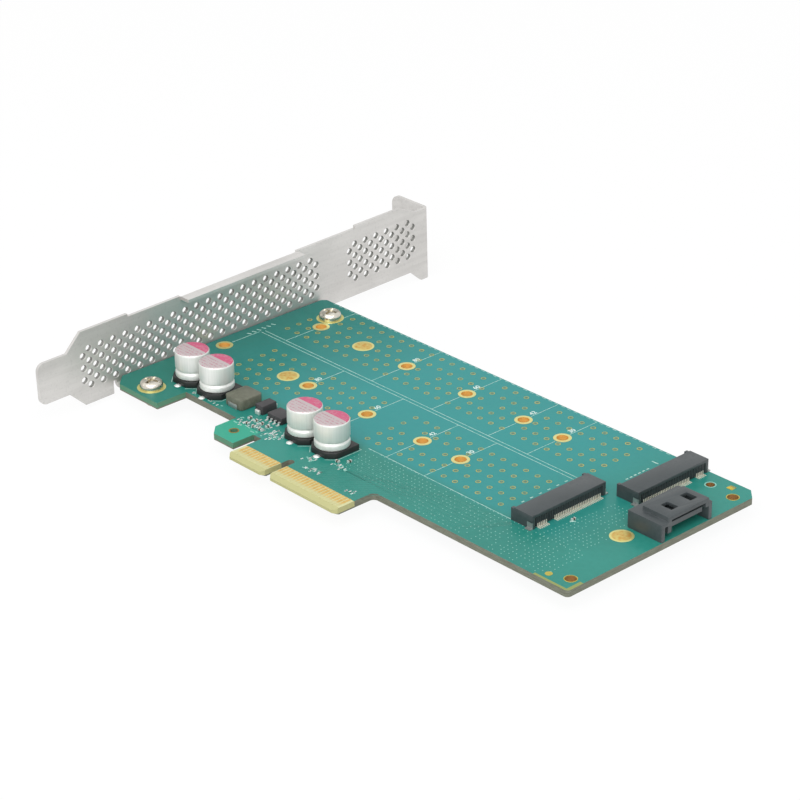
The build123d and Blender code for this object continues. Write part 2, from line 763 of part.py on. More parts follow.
def make_parts():
    sockets = (
        ("front", front_stop_x, front_lane_y, first_key_pins),
        ("back", back_stop_x, back_lane_y, second_key_pins),
    )
    passive_bodies, passive_ends = passive_parts()
    parts = {
        "circuit_board": circuit_board(),
        "edge_fingers_top": edge_fingers(0),
        "edge_fingers_bottom": edge_fingers(-board_thickness - plating),
        "standoff_rings": standoff_rings(),
        "gold_pads": gold_pads(),
        "slot_bracket": slot_bracket(),
        "bracket_screws": bracket_screws(),
        "data_plug_housing": plug_housing(),
        "data_plug_contacts": data_contacts(),
        "capacitor_cans": capacitor_cans(),
        "capacitor_bases": capacitor_bases(),
        "capacitor_leads": capacitor_leads(),
        "coil_body": coil_body(),
        "coil_terminals": coil_terminals(),
        "diode_body": diode_body(),
        "diode_terminals": diode_terminals(),
        "regulator_body": chip_body(),
        "regulator_leads": chip_lead_row(),
        "passive_bodies": passive_bodies,
        "passive_ends": passive_ends,
    }
    for name, stop_x, lane_y, skipped in sockets:
        parts[name + "_socket_housing"] = socket_housing(stop_x, lane_y, skipped)
        parts[name + "_socket_upper_contacts"] = upper_contacts(stop_x, lane_y, skipped)
        parts[name + "_socket_lower_contacts"] = lower_contacts(stop_x, lane_y, skipped)
        parts[name + "_socket_hold_downs"] = socket_hold_downs(stop_x, lane_y)
    return parts


def gather(shape):
    return Compound(children=shape) if isinstance(shape, list) else shape


if __name__ == "__main__":
    parts = {name: gather(shape) for name, shape in make_parts().items()}
    box = Compound(children=[Compound(shape.solids()) for shape in parts.values()]).bounding_box()
    # The finished part's origin is the middle of its box, at its lowest point.
    home = Pos(-box.center().X, -box.center().Y, -box.min.Z)
    os.makedirs("parts", exist_ok=True)
    for name, shape in parts.items():
        export_step(home * Compound(shape.solids()), os.path.join("parts", name + ".step"))
        print(name, len(shape.solids()))
    print("home", home.position)
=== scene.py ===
import json
import math
import random
import bmesh
import bpy
from mathutils import Matrix, Vector, kdtree


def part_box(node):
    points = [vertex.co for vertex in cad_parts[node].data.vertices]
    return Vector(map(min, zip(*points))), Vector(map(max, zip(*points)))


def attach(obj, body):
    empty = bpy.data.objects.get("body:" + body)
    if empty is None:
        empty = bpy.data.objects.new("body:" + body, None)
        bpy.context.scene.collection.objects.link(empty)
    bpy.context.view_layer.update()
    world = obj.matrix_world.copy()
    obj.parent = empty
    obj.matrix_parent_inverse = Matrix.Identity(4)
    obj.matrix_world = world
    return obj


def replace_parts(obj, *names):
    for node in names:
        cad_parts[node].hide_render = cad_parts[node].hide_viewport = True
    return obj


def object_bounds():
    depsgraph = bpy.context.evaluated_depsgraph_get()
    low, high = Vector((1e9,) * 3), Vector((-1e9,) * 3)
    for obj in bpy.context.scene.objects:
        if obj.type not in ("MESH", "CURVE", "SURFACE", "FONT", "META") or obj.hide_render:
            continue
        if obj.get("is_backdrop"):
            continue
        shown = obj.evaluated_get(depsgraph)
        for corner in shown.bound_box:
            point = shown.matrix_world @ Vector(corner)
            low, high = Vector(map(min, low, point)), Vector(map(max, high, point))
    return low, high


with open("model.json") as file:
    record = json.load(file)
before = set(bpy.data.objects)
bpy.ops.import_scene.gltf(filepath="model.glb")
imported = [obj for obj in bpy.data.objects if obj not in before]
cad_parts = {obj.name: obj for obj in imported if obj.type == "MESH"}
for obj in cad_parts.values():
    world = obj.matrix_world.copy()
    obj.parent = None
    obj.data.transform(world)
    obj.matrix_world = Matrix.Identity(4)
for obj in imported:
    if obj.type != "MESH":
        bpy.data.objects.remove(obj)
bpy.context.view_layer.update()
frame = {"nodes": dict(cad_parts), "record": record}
nodes = frame["nodes"]
boardLow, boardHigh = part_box("circuit_board")
home = (boardLow.x, boardLow.y, boardHigh.z)
mm = 0.001
random.seed(7)                             # the same vias, dots and lands in every run

# places on the card in its own millimetres, shared by the finishes and the pieces
lanes = dict(lengths=(30, 42, 60, 80, 110), frontY=34.5, backY=57.6, frontStop=113.6, backStop=121.7)
laneEnds = ((lanes["frontStop"], lanes["frontY"]), (lanes["backStop"], lanes["backY"]))
ringPlaces = [(stop - n, y) for stop, y in laneEnds for n in lanes["lengths"]]
padPlaces = [(26.6, 34.5), (26.7, 57.6), (130.4, 35.0)]
canPlaces = [(x, 17.7) for x in (12.9, 21.6, 52.1, 61.0)]
screwPlaces = [(9.4, 8.3), (9.4, 62.5)]
cornerPlaces = [(135.2, 15.1), (135.2, 63.8)]
guidePlace = (128.3, 64.6)


def spot(x, y, z=0.0):
    # card millimetres to metres: x from the board's bracket edge, y from the finger tips, z from its top
    return Vector((home[0] + x * mm, home[1] + y * mm, home[2] + z * mm))


def onCard(place):
    # metres back to card millimetres
    return [(value - start) / mm for value, start in zip(place, home)]


class Wire:
    # one output of a finish's tree, used in plain sums and products
    def __init__(self, finish, socket):
        self.finish = finish
        self.socket = socket

    def join(self, operation, first, second):
        return self.finish.node("ShaderNodeMath", {"operation": operation}, {0: first, 1: second})

    def __add__(self, other):
        return self.join("ADD", self, other)

    def __radd__(self, other):
        return self.join("ADD", other, self)

    def __sub__(self, other):
        return self.join("SUBTRACT", self, other)

    def __rsub__(self, other):
        return self.join("SUBTRACT", other, self)

    def __mul__(self, other):
        return self.join("MULTIPLY", self, other)

    def __rmul__(self, other):
        return self.join("MULTIPLY", other, self)

    def __truediv__(self, other):
        return self.join("DIVIDE", self, other)

    def __gt__(self, other):
        return self.join("GREATER_THAN", self, other)

    def __lt__(self, other):
        return self.join("LESS_THAN", self, other)

    def __mod__(self, other):
        return self.join("FLOORED_MODULO", self, other)

    def apart(self):
        return self.join("ABSOLUTE", self, 0.0)


def tint(red, green, blue):
    # 8-bit screen colour to the linear colour that Blender works in
    parts = [v / 255 for v in (red, green, blue)]
    return tuple(v / 12.92 if v <= 0.04045 else ((v + 0.055) / 1.055) ** 2.4 for v in parts) + (1.0,)


socketNames = dict(baseColor="Base Color", roughness="Roughness", metallic="Metallic", normal="Normal",
                   specular="Specular IOR Level", coat="Coat Weight", coatRoughness="Coat Roughness")


class Finish:
    # one procedural material: node() adds any node, feed() sets sockets of the main shader
    def __init__(self, name, **plain):
        self.material = bpy.data.materials.new(name)
        self.material.use_nodes = True
        self.tree = self.material.node_tree
        self.shader = self.tree.nodes["Principled BSDF"]
        self.feed(**plain)

    def plug(self, socket, value):
        if isinstance(value, Wire):
            self.tree.links.new(value.socket, socket)
        else:
            socket.default_value = value

    def node(self, kind, settings=None, values=None, output=0):
        made = self.tree.nodes.new(kind)
        for key, value in (settings or {}).items():
            setattr(made, key, value)
        for key, value in (values or {}).items():
            self.plug(made.inputs[key], value)
        return Wire(self, made.outputs[output])

    def feed(self, **sockets):
        for key, value in sockets.items():
            self.plug(self.shader.inputs[socketNames[key]], value)

    def split(self, vector):
        parts = self.tree.nodes.new("ShaderNodeSeparateXYZ")
        self.plug(parts.inputs[0], vector)
        return [Wire(self, parts.outputs[i]) for i in range(3)]

    def place(self):
        return self.node("ShaderNodeTexCoord", output=3)

    def axes(self):
        # the place in card millimetres, as three wires
        return [(part - start) / mm for part, start in zip(self.split(self.place()), home)]

    def local(self):
        # the place in millimetres from the middle of its own shape
        return self.node("ShaderNodeAttribute", {"attribute_name": "local"}, output=1)

    def up(self):
        # how far a face points upwards
        return self.split(self.node("ShaderNodeNewGeometry", output=1))[2]

    def stretch(self, x, y, z):
        # object coordinates scaled differently along each axis
        return self.node("ShaderNodeMapping", {"vector_type": "POINT"},
                         {"Vector": self.place(), "Scale": (x, y, z)})

    def noise(self, scale, detail=2.0, roughness=0.5, vector=None):
        return self.node("ShaderNodeTexNoise", None, {
            "Vector": vector or self.place(), "Scale": scale, "Detail": detail, "Roughness": roughness})

    def ramp(self, wire, low, high, a=0.0, b=1.0):
        return self.node("ShaderNodeMapRange", {"clamp": True}, {
            "Value": wire, "From Min": low, "From Max": high, "To Min": a, "To Max": b})

    def mix(self, factor, a, b):
        return self.node("ShaderNodeMix", {"data_type": "RGBA"}, {0: factor, 6: a, 7: b}, output=2)

    def bump(self, height, strength, distance, below=None):
        values = {"Strength": strength, "Distance": distance, "Height": height}
        if below is not None:
            values["Normal"] = below
        return self.node("ShaderNodeBump", None, values)


def boxMask(x, y, box):
    # 1 inside a rectangle of the card, 0 outside
    left, right, low, high = box
    return (x > left) * (x < right) * (y > low) * (y < high)


# one finish per material slot, and below some for single kinds of pieces
def makeSolderMask():
    look = dict(copper=tint(42, 135, 123), bare=tint(36, 124, 112), shade=tint(20, 100, 86),
                lane=tint(34, 140, 143), hook=tint(44, 164, 134), fine=tint(96, 172, 160),
                zone=tint(206, 206, 158), strip=tint(140, 150, 88), bevel=tint(180, 178, 126),
                laminate=tint(124, 128, 114), layer=tint(98, 98, 86), brown=tint(150, 108, 62),
                greenEdge=tint(74, 134, 106))
    # left, right, low and high side of each area in card millimetres
    areas = dict(hook=(29, 44, 3, 11.5), fingers=(44, 83, -9, 5.45), bevel=(44.7, 83.5, -9, 5.6),
                 frontEdge=(-9, 43.9, -9, 12.3), longStrip=(128.6, 137.9, 11.0, 11.75),
                 shortStrip=(137.3, 138.3, 11.0, 15.6))
    holeReach = 1.789                      # brown walls lie within this radius of a hole's middle
    f = Finish("solderMask", specular=0.18, coat=0.04, coatRoughness=0.2)
    x, y, z = f.axes()
    up = f.up()
    area = {name: boxMask(x, y, box) for name, box in areas.items()}
    broad = f.ramp(f.noise(26.0, 3.0), 0.35, 0.65)
    fine = f.ramp(f.noise(900.0, 3.0), 0.3, 0.7)
    lane = f.ramp(y, 22.5, 25.5) * f.ramp(x, 128, 98)
    colour = f.mix(broad, look["copper"], look["bare"])
    colour = f.mix(lane * 0.7, colour, look["lane"])
    # painted shade: the mask darkens towards the bracket edge, standing in for the bracket's reflection in
    # the glossy mask; look["shade"] is this painted shade colour
    colour = f.mix(f.ramp(x, 46, 6) * 0.7, colour, look["shade"])
    colour = f.mix(area["hook"] * 0.8, colour, look["hook"])
    colour = f.mix(fine * 0.1, colour, look["fine"])
    colour = f.mix(area["fingers"], colour, look["zone"])
    colour = f.mix(area["longStrip"] + area["shortStrip"], colour, look["strip"])
    side = up.apart() < 0.7
    layers = f.ramp(f.noise(1.0, 4.0, vector=f.stretch(500, 500, 9000)), 0.3, 0.7)
    edge = f.mix(layers, look["laminate"], look["layer"])
    edge = f.mix(area["frontEdge"] * (z > -1.2) * 0.75, edge, look["greenEdge"])
    for a, b in cornerPlaces + [guidePlace]:
        hole = (x - a) * (x - a) + (y - b) * (y - b) < holeReach ** 2
        edge = f.mix(hole, edge, look["brown"])
    colour = f.mix(side, colour, edge)
    colour = f.mix(area["bevel"] * (up < 0.96) * (z > -1.25) * 0.85, colour, look["bevel"])
    relief = f.bump(f.noise(240.0, 2.0), 0.12, 0.0002)
    relief = f.bump(f.noise(1500.0, 2.0), 0.12, 0.00004, relief)
    f.feed(baseColor=colour, normal=relief)
    f.feed(roughness=f.ramp(fine, 0, 1, 0.30, 0.42) + side * 0.35 + area["fingers"] * 0.1)
    return f.material


def makeGold(name, base, deep, roughness, rim=0.0, inside=None, tip=None):
    # rim is the radius from which a pad is pale, inside the colour of a hole's wall,
    # tip the colour of the fingers near the bevel
    look = dict(pale=tint(216, 210, 140), metallic=0.7, wallLoss=0.45, tipFrom=3.1, tipFull=2.1)
    f = Finish(name, metallic=look["metallic"])
    cloud = f.ramp(f.noise(1100.0, 4.0), 0.35, 0.65)
    colour = f.mix(cloud, base, deep)
    if rim:
        reach = f.node("ShaderNodeVectorMath", {"operation": "LENGTH"}, {0: f.local()}, output=1)
        colour = f.mix(f.ramp(reach, rim - 0.1, rim + 0.08), colour, look["pale"])
    if tip:
        colour = f.mix(f.ramp(f.axes()[1], look["tipFrom"], look["tipFull"]), colour, tip)
    if inside:
        wall = f.up().apart() < 0.5
        colour = f.mix(wall, colour, inside)
        f.feed(metallic=look["metallic"] - wall * look["wallLoss"])
    f.feed(baseColor=colour, roughness=f.ramp(cloud, 0, 1, roughness, roughness + 0.12))
    f.feed(normal=f.bump(f.noise(4200.0, 2.0), 0.25, 0.00003, f.bump(cloud, 0.3, 0.00006)))
    return f.material


def makeBracketSteel():
    look = dict(base=tint(218, 216, 213), deep=tint(196, 194, 191), speck=tint(172, 172, 168),
                smooth=0.41, rough=0.53)
    f = Finish("bracketSteel", metallic=0.78)
    rolled = f.noise(1.0, 3.0, vector=f.stretch(900, 60, 900))
    streak = f.ramp(rolled, 0.3, 0.7)
    cloud = f.ramp(f.noise(60.0, 4.0), 0.3, 0.7)
    speck = f.ramp(f.noise(1800.0, 2.0), 0.55, 0.75)
    colour = f.mix(cloud * 0.6 + streak * 0.3, look["base"], look["deep"])
    colour = f.mix(speck * 0.25, colour, look["speck"])
    f.feed(baseColor=colour, roughness=f.ramp(streak, 0, 1, look["smooth"], look["rough"]))
    f.feed(normal=f.bump(rolled, 0.12, 0.00005, f.bump(f.noise(2600.0, 2.0), 0.12, 0.00003)))
    return f.material


def makeMetal(name, base, deep, roughness, metallic=1.0):
    f = Finish(name, metallic=metallic)
    cloud = f.ramp(f.noise(900.0, 3.0), 0.3, 0.7)
    f.feed(baseColor=f.mix(cloud, base, deep), roughness=f.ramp(cloud, 0, 1, roughness, roughness + 0.1))
    f.feed(normal=f.bump(f.noise(3600.0, 2.0), 0.2, 0.00003))
    return f.material


def makePlastic(name, base, worn, roughness, scale=1300.0, bump=0.3, speck=0.35):
    f = Finish(name, specular=0.45)
    grain = f.noise(scale, 3.0, 0.6)
    cloud = f.ramp(f.noise(160.0, 2.0), 0.3, 0.7)
    colour = f.mix(f.ramp(grain, 0.35, 0.75) * speck, base, worn)
    f.feed(baseColor=f.mix(cloud * 0.3, colour, worn))
    f.feed(roughness=f.ramp(grain, 0.3, 0.7, roughness - 0.06, roughness + 0.08))
    f.feed(normal=f.bump(grain, bump, 0.00004))
    return f.material


def makeCanAluminium():
    look = dict(side=tint(228, 230, 226), shade=tint(206, 209, 205), paint=tint(196, 84, 120),
                pale=tint(186, 174, 175), ink=tint(176, 70, 104), smooth=0.42, rough=0.5)
    # a painted segment beyond the chord, and worn dashes in rows on the rest of the top
    marks = dict(topZ=7.62, chord=0.95, gap=0.35, start=6.1, row=0.92, thick=0.2, dash=3.2)
    f = Finish("canAluminium")
    u, v, height = f.split(f.local())
    top = height > marks["topZ"]
    paint = top * (v > marks["chord"])
    line = v + marks["start"]
    rows = ((line % marks["row"]) - marks["row"] / 2).apart() < marks["thick"]
    cell = f.node("ShaderNodeCombineXYZ", None, {0: u * marks["dash"], 1: line / marks["row"]})
    ink = top * (v < marks["chord"] - marks["gap"]) * rows * (f.noise(1.0, 2.0, vector=cell) > 0.5)
    brushed = f.ramp(f.noise(1.0, 3.0, vector=f.stretch(2600, 2600, 90)), 0.3, 0.7)
    colour = f.mix(brushed * 0.5, look["side"], look["shade"])
    colour = f.mix(top, colour, look["pale"])
    colour = f.mix(paint, colour, look["paint"])
    colour = f.mix(ink * 0.5, colour, look["ink"])
    worn = f.ramp(f.noise(1500.0, 3.0), 0.5, 0.62)
    colour = f.mix(paint * worn * 0.28, colour, look["pale"])
    f.feed(baseColor=colour, metallic=0.42 - top * 0.3)
    f.feed(roughness=f.ramp(brushed, 0, 1, look["smooth"], look["rough"]) + paint * 0.05)
    f.feed(normal=f.bump(f.noise(2200.0, 2.0), 0.1, 0.00003))
    return f.material


def makeViaRing():
    f = Finish("viaRing", specular=0.5)
    cloud = f.ramp(f.noise(900.0, 3.0), 0.35, 0.65)
    f.feed(baseColor=f.mix(cloud, tint(196, 172, 56), tint(150, 150, 66)), roughness=0.42)
    f.feed(normal=f.bump(f.noise(3000.0, 2.0), 0.2, 0.00003))
    return f.material


def makeSilk():
    f = Finish("silkWhite", roughness=0.62)
    cloud = f.ramp(f.noise(1800.0, 3.0), 0.35, 0.7)
    f.feed(baseColor=f.mix(cloud, tint(196, 222, 212), tint(128, 190, 178)))
    return f.material


finishes = {
    "solder_mask": makeSolderMask(),
    "bracket_steel": makeBracketSteel(),
    "screw_nickel": makeMetal("screwNickel", tint(226, 222, 210), tint(196, 190, 176), 0.2),
    "gold": makeGold("gold", tint(222, 192, 118), tint(206, 170, 94), 0.42, tip=tint(208, 204, 152)),
    "contact_gold": makeMetal("contactGold", tint(248, 242, 228), tint(224, 216, 200), 0.4, 0.45),
    "connector_black": makePlastic("connectorBlack", tint(54, 60, 62), tint(80, 86, 88), 0.42),
    "can_aluminium": makeCanAluminium(),
    "base_black": makePlastic("baseBlack", tint(26, 27, 27), tint(48, 49, 48), 0.5),
    "tin": makeMetal("tin", tint(240, 241, 238), tint(214, 217, 214), 0.36, 0.6),
    "coil_ferrite": makePlastic("coilFerrite", tint(84, 86, 72), tint(122, 124, 110), 0.6, 900.0, 0.6, 0.6),
    "package_black": makePlastic("packageBlack", tint(44, 42, 44), tint(78, 76, 78), 0.5),
    "passive_ceramic": makePlastic("passiveCeramic", tint(66, 60, 54), tint(128, 112, 88), 0.45),
}

# finishes that some pieces take instead of their slot's own
viaRing = makeViaRing()
ringGold = makeGold("ringGold", tint(214, 196, 112), tint(204, 176, 92), 0.36, 1.62, tint(236, 180, 92))
padGold = makeGold("padGold", tint(212, 196, 118), tint(204, 158, 78), 0.42, 2.1)
cutSteel = makeMetal("cutSteel", tint(172, 172, 168), tint(132, 132, 128), 0.5)
trackGreen = makePlastic("trackGreen", tint(34, 128, 115), tint(42, 138, 125), 0.36)
dullTin = makeMetal("dullTin", tint(170, 174, 172), tint(140, 144, 142), 0.4, 0.7)
printWhite = makePlastic("printWhite", tint(226, 238, 232), tint(190, 220, 210), 0.6)
stitchPale = makePlastic("stitchPale", tint(150, 204, 190), tint(104, 172, 158), 0.5)
silkWhite = makeSilk()
drilled = makePlastic("drilled", tint(140, 112, 44), tint(96, 84, 44), 0.6)
print("finishes ready")

slotOf = {s["node"]: s["material_slot"] for s in frame["record"]["subparts"]}
for name, body in nodes.items():
    body.data.materials.clear()
    body.data.materials.append(dullTin if name.endswith("hold_downs") else finishes[slotOf[name]])


# what the pieces are made with
def addObject(name, data):
    made = bpy.data.objects.new(name, data)
    bpy.context.scene.collection.objects.link(made)
    return made


def evaluated(piece):
    # the plain mesh that a piece's modifiers, or a text curve, give
    graph = bpy.context.evaluated_depsgraph_get()
    return bpy.data.meshes.new_from_object(piece.evaluated_get(graph))


def meshFrom(work, name):
    mesh = bpy.data.meshes.new(name)
    work.to_mesh(mesh)
    work.free()
    return mesh


def dress(piece, slot, material=None):
    piece.data.materials.clear()
    piece.data.materials.append(material or finishes[slot])


def settle(piece, smooth=None):
    # outward faces, shading and the ride on the card's body
    work = bmesh.new()
    work.from_mesh(piece.data)
    bmesh.ops.remove_doubles(work, verts=work.verts, dist=1e-7)
    bmesh.ops.recalc_face_normals(work, faces=work.faces)
    work.to_mesh(piece.data)
    work.free()
    if smooth:
        piece.data.shade_smooth()
        piece.data.set_sharp_from_angle(angle=math.radians(smooth))
    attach(piece, "root")
    print("made", piece.name, len(piece.data.polygons))
    return piece


class Bench:
    # builds one Geometry Nodes tree with named inputs
    def __init__(self, name, sizes):
        self.tree = bpy.data.node_groups.new(name, "GeometryNodeTree")
        face = self.tree.interface
        face.new_socket("Geometry", in_out="INPUT", socket_type="NodeSocketGeometry")
        self.keys = {}
        for label, value in sizes.items():
            kind = {int: "NodeSocketInt", float: "NodeSocketFloat"}.get(type(value), "NodeSocketMaterial")
            socket = face.new_socket(label, in_out="INPUT", socket_type=kind)
            self.keys[label] = socket.identifier
        face.new_socket("Geometry", in_out="OUTPUT", socket_type="NodeSocketGeometry")
        self.inlet = self.tree.nodes.new("NodeGroupInput")
        self.outlet = self.tree.nodes.new("NodeGroupOutput")
        self.sizes = sizes

    def size(self, label):
        return self.inlet.outputs[label]

    def node(self, kind, settings=None, values=None, output=0):
        made = self.tree.nodes.new(kind)
        for key, value in (settings or {}).items():
            setattr(made, key, value)
        for key, value in (values or {}).items():
            for part in value if isinstance(value, list) else [value]:
                if isinstance(part, bpy.types.NodeSocket):
                    self.tree.links.new(part, made.inputs[key])
                else:
                    made.inputs[key].default_value = part
        return made.outputs[output]

    def close(self, geometry):
        # every tree ends in Realize Instances and Set Material
        real = self.node("GeometryNodeRealizeInstances", None, {0: geometry})
        last = self.node("GeometryNodeSetMaterial", None,
                         {"Geometry": real, "Material": self.size("material")})
        self.tree.links.new(last, self.outlet.inputs[0])

    def scatter(self, shape):
        # one copy of the shape on each point of the seed mesh
        points = self.node("GeometryNodeMeshToPoints", None, {0: self.inlet.outputs[0]})
        self.close(self.node("GeometryNodeInstanceOnPoints", None, {"Points": points, "Instance": shape}))

    def circle(self, label):
        return self.node("GeometryNodeCurvePrimitiveCircle", {"mode": "RADIUS"},
                         {"Resolution": self.size("sides"), "Radius": self.size(label)})

    def slab(self, *rims):
        # fills the rims, thickens the flat shape upwards and closes its underside
        rim = self.node("GeometryNodeJoinGeometry", None, {0: list(rims)}) if len(rims) > 1 else rims[0]
        flat = self.node("GeometryNodeFillCurve", None, {0: rim})
        raised = self.node("GeometryNodeExtrudeMesh", {"mode": "FACES"},
                           {"Mesh": flat, "Offset Scale": self.size("height"), "Individual": False})
        under = self.node("GeometryNodeFlipFaces", None, {0: flat})
        both = self.node("GeometryNodeJoinGeometry", None, {0: [raised, under]})
        return self.node("GeometryNodeMergeByDistance", None, {0: both, "Distance": 1e-7})

    def mark(self, geometry):
        # keeps each shape's own place, in millimetres from its middle, for its finish
        place = self.node("GeometryNodeInputPosition")
        scaled = self.node("ShaderNodeVectorMath", {"operation": "SCALE"}, {0: place, "Scale": 1 / mm})
        return self.node("GeometryNodeStoreNamedAttribute", {"data_type": "FLOAT_VECTOR", "domain": "POINT"},
                         {"Geometry": geometry, "Name": "local", "Value": scaled})

    def grow(self, name, seedMesh):
        # runs the tree on a seed mesh and returns the result as a plain mesh object
        piece = addObject(name, seedMesh)
        modifier = piece.modifiers.new("tree", "NODES")
        modifier.node_group = self.tree
        for label, value in self.sizes.items():
            modifier[self.keys[label]] = value
        mesh = evaluated(piece)
        piece.modifiers.remove(modifier)
        piece.data = mesh
        mesh.name = name
        return piece


def benchFor(name, size, material):
    # a tree whose inputs are a piece's sizes: lengths in metres, counts as they are
    sizes = {label: value if isinstance(value, int) else value * mm for label, value in size.items()}
    return Bench(name + "Tree", dict(sizes, material=material))


def pointMesh(name, places, edges=()):
    mesh = bpy.data.meshes.new(name)
    mesh.from_pydata([tuple(p) for p in places], list(edges), [])
    return mesh


def ringPiece(name, places, size, material):
    # flat rings, or plated tubes, standing on the given places
    bench = benchFor(name, size, material)
    bench.scatter(bench.mark(bench.slab(bench.circle("outer"), bench.circle("hole"))))
    return settle(bench.grow(name, pointMesh(name, places)), 40)


def discPiece(name, places, size, material):
    # small round dots on the given places
    bench = benchFor(name, size, material)
    bench.scatter(bench.slab(bench.circle("radius")))
    return settle(bench.grow(name, pointMesh(name, places)), 40)


def boxPiece(name, places, size, material):
    # small upright blocks, centred on the given places
    bench = benchFor(name, size, material)
    sides = {i: bench.size(label) for i, label in enumerate(("depth", "width", "height"))}
    bench.scatter(bench.node("GeometryNodeMeshCube", None,
                             {"Size": bench.node("ShaderNodeCombineXYZ", None, sides)}))
    return settle(bench.grow(name, pointMesh(name, places)))


def linePiece(name, runs, size, material):
    # thin raised lines along straight runs, for printed lines and copper tracks
    places, edges = [], []
    for run in runs:
        start = len(places)
        places += [spot(x, y, size["height"] / 2) for x, y in run]
        edges += [(start + i, start + i + 1) for i in range(len(run) - 1)]
    bench = benchFor(name, size, material)
    path = bench.node("GeometryNodeMeshToCurve", None, {0: bench.inlet.outputs[0]})
    path = bench.node("GeometryNodeSetCurveNormal", {"mode": "Z_UP"}, {0: path})
    profile = bench.node("GeometryNodeCurvePrimitiveQuadrilateral", {"mode": "RECTANGLE"},
                         {"Width": bench.size("width"), "Height": bench.size("height")})
    bench.close(bench.node("GeometryNodeCurveToMesh", None,
                           {"Curve": path, "Profile Curve": profile, "Fill Caps": True}))
    return settle(bench.grow(name, pointMesh(name, places, edges)))


# vias and stitch dots keep these distances from what stands on the board
keepOut = [(x, y, reach) for places, reach in ((ringPlaces, 2.9), (padPlaces, 3.3), (screwPlaces, 4.2),
                                               (canPlaces, 5.8)) for x, y in places]


def clear(x, y):
    return all((x - a) ** 2 + (y - b) ** 2 > reach ** 2 for a, b, reach in keepOut)


vias = dict(ring=dict(sides=16, outer=0.62, hole=0.46, height=0.025), columns=30, step=3.45, missing=0.04,
            drill=dict(sides=10, radius=0.22, height=0.006), drillZ=0.002,
            backX=6.8, backRows=(65.9, 61.9, 58.3, 54.8, 51.3),
            frontX=14.1, frontRows=(41.1, 37.4, 33.7, 30.2, 26.7), gapFrom=53, gapTo=62, frontEnd=105)
viaPlaces = []
for column in range(vias["columns"]):
    viaPlaces += [(vias["backX"] + column * vias["step"], y) for y in vias["backRows"]]
    x = vias["frontX"] + column * vias["step"]
    if x < vias["gapFrom"] or vias["gapTo"] < x < vias["frontEnd"]:
        viaPlaces += [(x, y) for y in vias["frontRows"]]
viaPlaces = [p for p in viaPlaces if clear(*p) and random.random() > vias["missing"]]
ringPiece("viaRings", [spot(x, y) for x, y in viaPlaces], vias["ring"], viaRing)
discPiece("viaHoles", [spot(x, y, vias["drillZ"]) for x, y in viaPlaces], vias["drill"], drilled)

# dots in a strip beside the tracks, which leaves its corner near the fingers free, and in a slanted block
dots = dict(size=dict(sides=8, radius=0.12, height=0.02), end=131,
            strip=dict(x=66.8, y=12.2, columns=54, rows=11, stepX=1.2, stepY=1.12, missing=0.24,
                       strayX=0.14, strayY=0.1, freeX=86, freeY=13.5),
            block=dict(x=118.4, y=23.6, columns=10, rows=21, stepX=1.12, stepY=1.0, missing=0.25, slant=0.1))
dotPlaces = []
strip = dots["strip"]
for column in range(strip["columns"]):
    for row in range(strip["rows"]):
        x, y = strip["x"] + column * strip["stepX"], strip["y"] + row * strip["stepY"]
        if random.random() > strip["missing"] and (y > strip["freeY"] or x > strip["freeX"]):
            dotPlaces.append((x + random.uniform(-strip["strayX"], strip["strayX"]),
                              y + random.uniform(-strip["strayY"], strip["strayY"])))
block = dots["block"]
for column in range(block["columns"]):
    for row in range(block["rows"]):
        if random.random() > block["missing"]:
            dotPlaces.append((block["x"] + column * block["stepX"] + row * block["slant"],
                              block["y"] + row * block["stepY"]))
dotPlaces = [p for p in dotPlaces if clear(*p) and p[0] < dots["end"]]
discPiece("stitchDots", [spot(x, y) for x, y in dotPlaces], dots["size"], stitchPale)

# plated tubes through the board, which stand out a little on both sides
thick = (boardHigh.z - boardLow.z) / mm
tubeRise = 0.04
tubes = dict(sides=40, outer=2.05, hole=1.35, height=thick + 2 * tubeRise)
tubePiece = ringPiece("platedRings", [spot(x, y, -thick - tubeRise) for x, y in ringPlaces], tubes,
                      ringGold)
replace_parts(tubePiece, "standoff_rings")

# printed lines: between the lanes, across them at each module length (the low row only for lengths under
# lowUnder), round the cans and along the edge as dashes
prints = dict(size=dict(width=0.15, height=0.02),
              long=((4.1, 110.0, 46.6), (4.1, 110.0, 45.5), (66.0, 110.6, 23.7)),
              frontRows=((23.7, 32.3), (36.8, 45.4)), backRows=((46.7, 55.3), (59.9, 68.6)), lowUnder=80,
              half=4.45, corner=2.0, mouth=1.0, dashes=56, dashX=3.8, dashStep=1.97, dash=1.1, dashY=68.55)
printRuns = [[(x0, y), (x1, y)] for x0, x1, y in prints["long"]]
for n in lanes["lengths"]:
    x = lanes["frontStop"] - n
    frontRows = prints["frontRows"] if n < prints["lowUnder"] else prints["frontRows"][1:]
    printRuns += [[(x, low), (x, high)] for low, high in frontRows]
    x = lanes["backStop"] - n
    printRuns += [[(x, low), (x, high)] for low, high in prints["backRows"]]
for x, y in canPlaces:
    left, right, low, high = [v + side * prints["half"] for v in (x, y) for side in (-1, 1)]
    inLeft, inRight, inLow = left + prints["corner"], right - prints["corner"], low + prints["corner"]
    printRuns += [[(left, inLow), (inLeft, low)], [(inRight, low), (right, inLow)]]
    printRuns += [[(left, high), (x - prints["mouth"], high)], [(x + prints["mouth"], high), (right, high)]]
    printRuns += [[(left, inLow), (left, high)], [(right, inLow), (right, high)]]
for step in range(prints["dashes"]):
    x = prints["dashX"] + step * prints["dashStep"]
    printRuns.append([(x, prints["dashY"]), (x + prints["dash"], prints["dashY"])])
linePiece("printedLines", printRuns, prints["size"], silkWhite)

